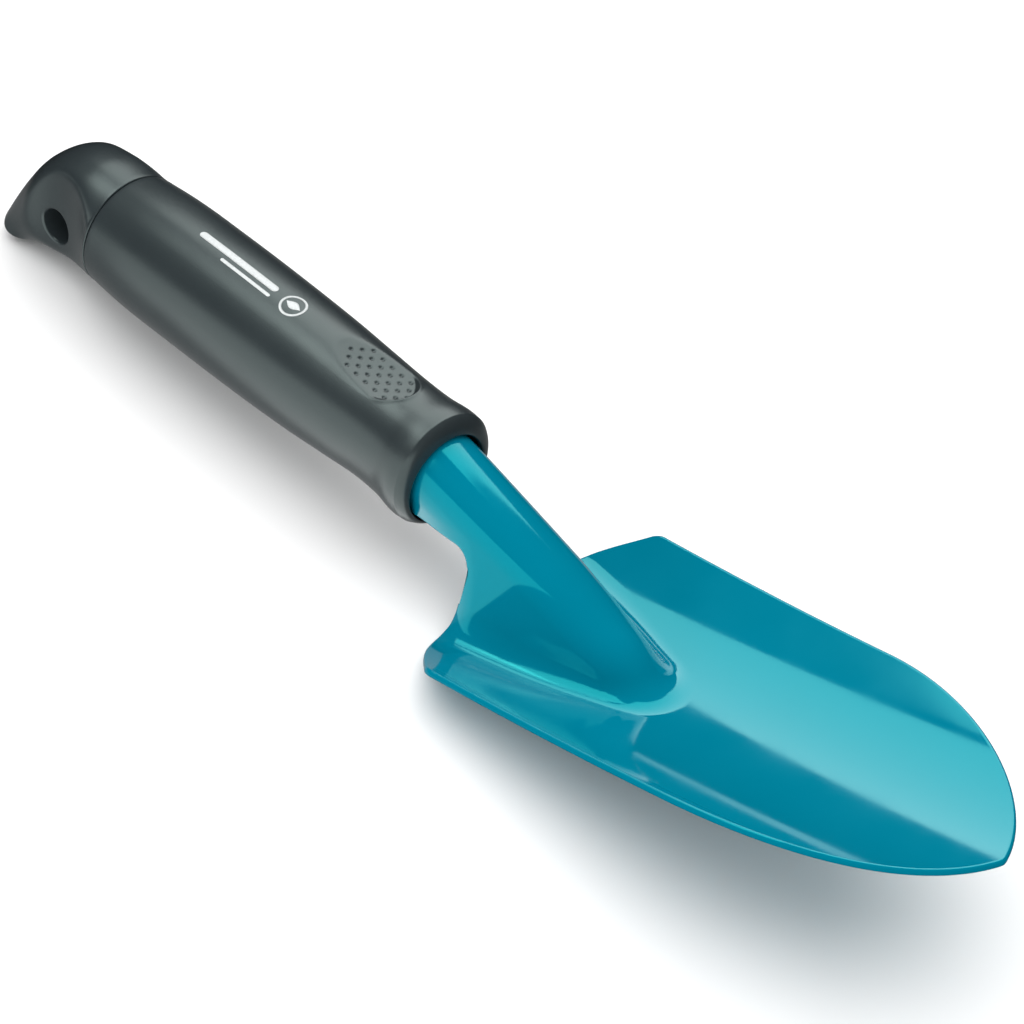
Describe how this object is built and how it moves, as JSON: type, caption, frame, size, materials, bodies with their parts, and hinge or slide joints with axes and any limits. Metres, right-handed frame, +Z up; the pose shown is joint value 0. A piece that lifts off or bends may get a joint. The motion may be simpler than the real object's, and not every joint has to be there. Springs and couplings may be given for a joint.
{
  "type": "hand trowel",
  "caption": "Hand trowel: a pressed, coated steel scoop with a ridged neck, and a moulded grip with a thumb pad and an end cap with a hang hole.",
  "frame": {"origin": "middle of the bottom of the whole trowel's box, on the surface that it lies on", "axes": "+X towards the blade's tip, +Y to the left of the blade, +Z up. The trowel lies with the blade's hollow side up, on the rear edges of its wings and on the lip of its end cap."},
  "size_m": [0.3556, 0.082, 0.0452],
  "materials": {
    "coated_steel": "glossy",
    "core_plastic": "matte",
    "grip_plastic": "satin",
    "cap_plastic": "satin"
  },
  "bodies": {
    "root": {"scoop": "coated_steel", "handle_core": "core_plastic", "grip_sleeve": "grip_plastic", "end_cap": "cap_plastic"}
  },
  "joints": []
}
